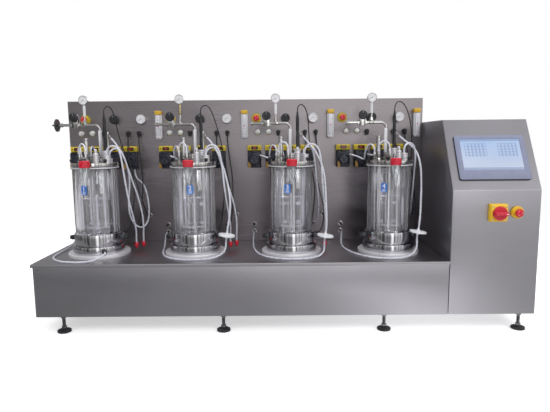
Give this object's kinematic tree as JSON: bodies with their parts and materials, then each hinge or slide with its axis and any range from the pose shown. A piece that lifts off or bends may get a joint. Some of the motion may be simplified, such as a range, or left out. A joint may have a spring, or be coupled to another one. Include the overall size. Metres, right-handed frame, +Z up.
{
  "type": "bench bioreactor",
  "caption": "A stainless parallel bench bioreactor: stirred jacketed glass vessels on a long deck, an instrument panel with pump heads behind them and a control cabinet with a touch screen",
  "frame": {"origin": "centre of the footprint at the underside of the levelling feet", "axes": "+Z up, +X to the right along the row of vessels, +Y to the back"},
  "size_m": [1.75, 0.5484, 0.8435],
  "materials": {
    "brushed_steel": "brushed",
    "polished_steel": "polished",
    "clear_glass": "clear",
    "black_plastic": "satin",
    "grey_paint": "satin",
    "screen": "lit",
    "yellow_plastic": "gloss",
    "red_plastic": "gloss",
    "dial_metal": "polished",
    "meter_plastic": "gloss",
    "lens_plastic": "gloss",
    "filter_plastic": "satin",
    "levelling_steel": "machined",
    "silicone": "smooth",
    "cable_rubber": "smooth"
  },
  "bodies": {
    "frame": {"air_filters": "filter_plastic", "baffle_cages": "polished_steel", "base_couplings": "black_plastic", "base_housing": "brushed_steel", "cabinet_back_cover": "brushed_steel", "cable_sockets": "black_plastic", "clamp_bolts": "black_plastic", "clamp_rings": "polished_steel", "control_cabinet": "brushed_steel", "deck_hoses": "silicone", "deck_plate": "brushed_steel", "drive_motors": "grey_paint", "exhaust_pipes": "polished_steel", "feed_tubes": "silicone", "head_plates": "polished_steel", "head_ports": "polished_steel", "head_tubes": "silicone", "instrument_panel": "brushed_steel", "isolator_plate": "yellow_plastic", "levelling_feet": "levelling_steel", "panel_barbs": "black_plastic", "panel_gauges": "dial_metal", "ph_probes": "black_plastic", "pilot_domes": "lens_plastic", "probe_cables": "cable_rubber", "pump_bodies": "black_plastic", "pump_fascias": "yellow_plastic", "rear_housing": "brushed_steel", "riser_hoses": "silicone", "rotameters": "meter_plastic", "sample_bottles": "clear_glass", "sample_caps": "red_plastic", "seat_discs": "polished_steel", "sensor_cables": "cable_rubber", "station_button_collars": "yellow_plastic", "stop_collar": "yellow_plastic", "touchscreen_bezel": "grey_paint", "touchscreen_glass": "screen", "tube_plugs": "red_plastic", "vessel_bases": "polished_steel", "vessel_gauges": "dial_metal", "vessel_glasses": "clear_glass"},
    "isolator_knob": {"isolator_knob": "red_plastic"},
    "stop_button": {"stop_button": "red_plastic"},
    "stirrer_1": {"stirrer_1": "polished_steel"},
    "stirrer_2": {"stirrer_2": "polished_steel"},
    "stirrer_3": {"stirrer_3": "polished_steel"},
    "stirrer_4": {"stirrer_4": "polished_steel"},
    "exhaust_valve_knob_1": {"exhaust_valve_knob_1": "black_plastic"},
    "exhaust_valve_knob_2": {"exhaust_valve_knob_2": "black_plastic"},
    "exhaust_valve_knob_3": {"exhaust_valve_knob_3": "black_plastic"},
    "exhaust_valve_knob_4": {"exhaust_valve_knob_4": "black_plastic"},
    "regulator_knob_1": {"regulator_knob_1": "black_plastic"},
    "regulator_knob_2": {"regulator_knob_2": "black_plastic"},
    "regulator_knob_3": {"regulator_knob_3": "black_plastic"},
    "regulator_knob_4": {"regulator_knob_4": "black_plastic"},
    "station_button_1": {"station_button_1": "red_plastic"},
    "station_button_2": {"station_button_2": "red_plastic"},
    "station_button_3": {"station_button_3": "red_plastic"},
    "station_button_4": {"station_button_4": "red_plastic"}
  },
  "joints": [
    {"name": "isolator_turn", "type": "hinge", "parent": "frame", "child": "isolator_knob", "pos_m": [0.728, -0.24785, 0.421], "axis": [0, 1, 0], "range_deg": [0, 90]},
    {"name": "stop_press", "type": "slide", "parent": "frame", "child": "stop_button", "axis": [0, 1, 0], "range_m": [0, 0.004], "stiffness_N_per_m": 800},
    {"name": "stirrer_turn_1", "type": "hinge", "parent": "frame", "child": "stirrer_1", "pos_m": [-0.6885, -0.06785, 0.353], "axis": [0, 0, 1], "continuous": true},
    {"name": "exhaust_valve_turn_1", "type": "hinge", "parent": "frame", "child": "exhaust_valve_knob_1", "pos_m": [-0.7785, -0.00985, 0.761], "axis": [0, 1, 0], "range_deg": [0, 270]},
    {"name": "regulator_turn_1", "type": "hinge", "parent": "frame", "child": "regulator_knob_1", "pos_m": [-0.68, 0.15615, 0.76], "axis": [0, 1, 0], "range_deg": [-360, 720]},
    {"name": "station_press_1", "type": "slide", "parent": "frame", "child": "station_button_1", "axis": [0, 1, 0], "range_m": [0, 0.003], "stiffness_N_per_m": 600},
    {"name": "stirrer_turn_2", "type": "hinge", "parent": "frame", "child": "stirrer_2", "pos_m": [-0.3275, -0.06785, 0.353], "axis": [0, 0, 1], "continuous": true},
    {"name": "exhaust_valve_turn_2", "type": "hinge", "parent": "frame", "child": "exhaust_valve_knob_2", "pos_m": [-0.4175, -0.00985, 0.761], "axis": [0, 1, 0], "range_deg": [0, 270]},
    {"name": "regulator_turn_2", "type": "hinge", "parent": "frame", "child": "regulator_knob_2", "pos_m": [-0.331, 0.15615, 0.76], "axis": [0, 1, 0], "range_deg": [-360, 720]},
    {"name": "station_press_2", "type": "slide", "parent": "frame", "child": "station_button_2", "axis": [0, 1, 0], "range_m": [0, 0.003], "stiffness_N_per_m": 600},
    {"name": "stirrer_turn_3", "type": "hinge", "parent": "frame", "child": "stirrer_3", "pos_m": [0.0335, -0.06785, 0.353], "axis": [0, 0, 1], "continuous": true},
    {"name": "exhaust_valve_turn_3", "type": "hinge", "parent": "frame", "child": "exhaust_valve_knob_3", "pos_m": [-0.0565, -0.00985, 0.761], "axis": [0, 1, 0], "range_deg": [0, 270]},
    {"name": "regulator_turn_3", "type": "hinge", "parent": "frame", "child": "regulator_knob_3", "pos_m": [0.018, 0.15615, 0.76], "axis": [0, 1, 0], "range_deg": [-360, 720]},
    {"name": "station_press_3", "type": "slide", "parent": "frame", "child": "station_button_3", "axis": [0, 1, 0], "range_m": [0, 0.003], "stiffness_N_per_m": 600},
    {"name": "stirrer_turn_4", "type": "hinge", "parent": "frame", "child": "stirrer_4", "pos_m": [0.3945, -0.06785, 0.353], "axis": [0, 0, 1], "continuous": true},
    {"name": "exhaust_valve_turn_4", "type": "hinge", "parent": "frame", "child": "exhaust_valve_knob_4", "pos_m": [0.3045, -0.00985, 0.761], "axis": [0, 1, 0], "range_deg": [0, 270]},
    {"name": "regulator_turn_4", "type": "hinge", "parent": "frame", "child": "regulator_knob_4", "pos_m": [0.367, 0.15615, 0.76], "axis": [0, 1, 0], "range_deg": [-360, 720]},
    {"name": "station_press_4", "type": "slide", "parent": "frame", "child": "station_button_4", "axis": [0, 1, 0], "range_m": [0, 0.003], "stiffness_N_per_m": 600}
  ]
}
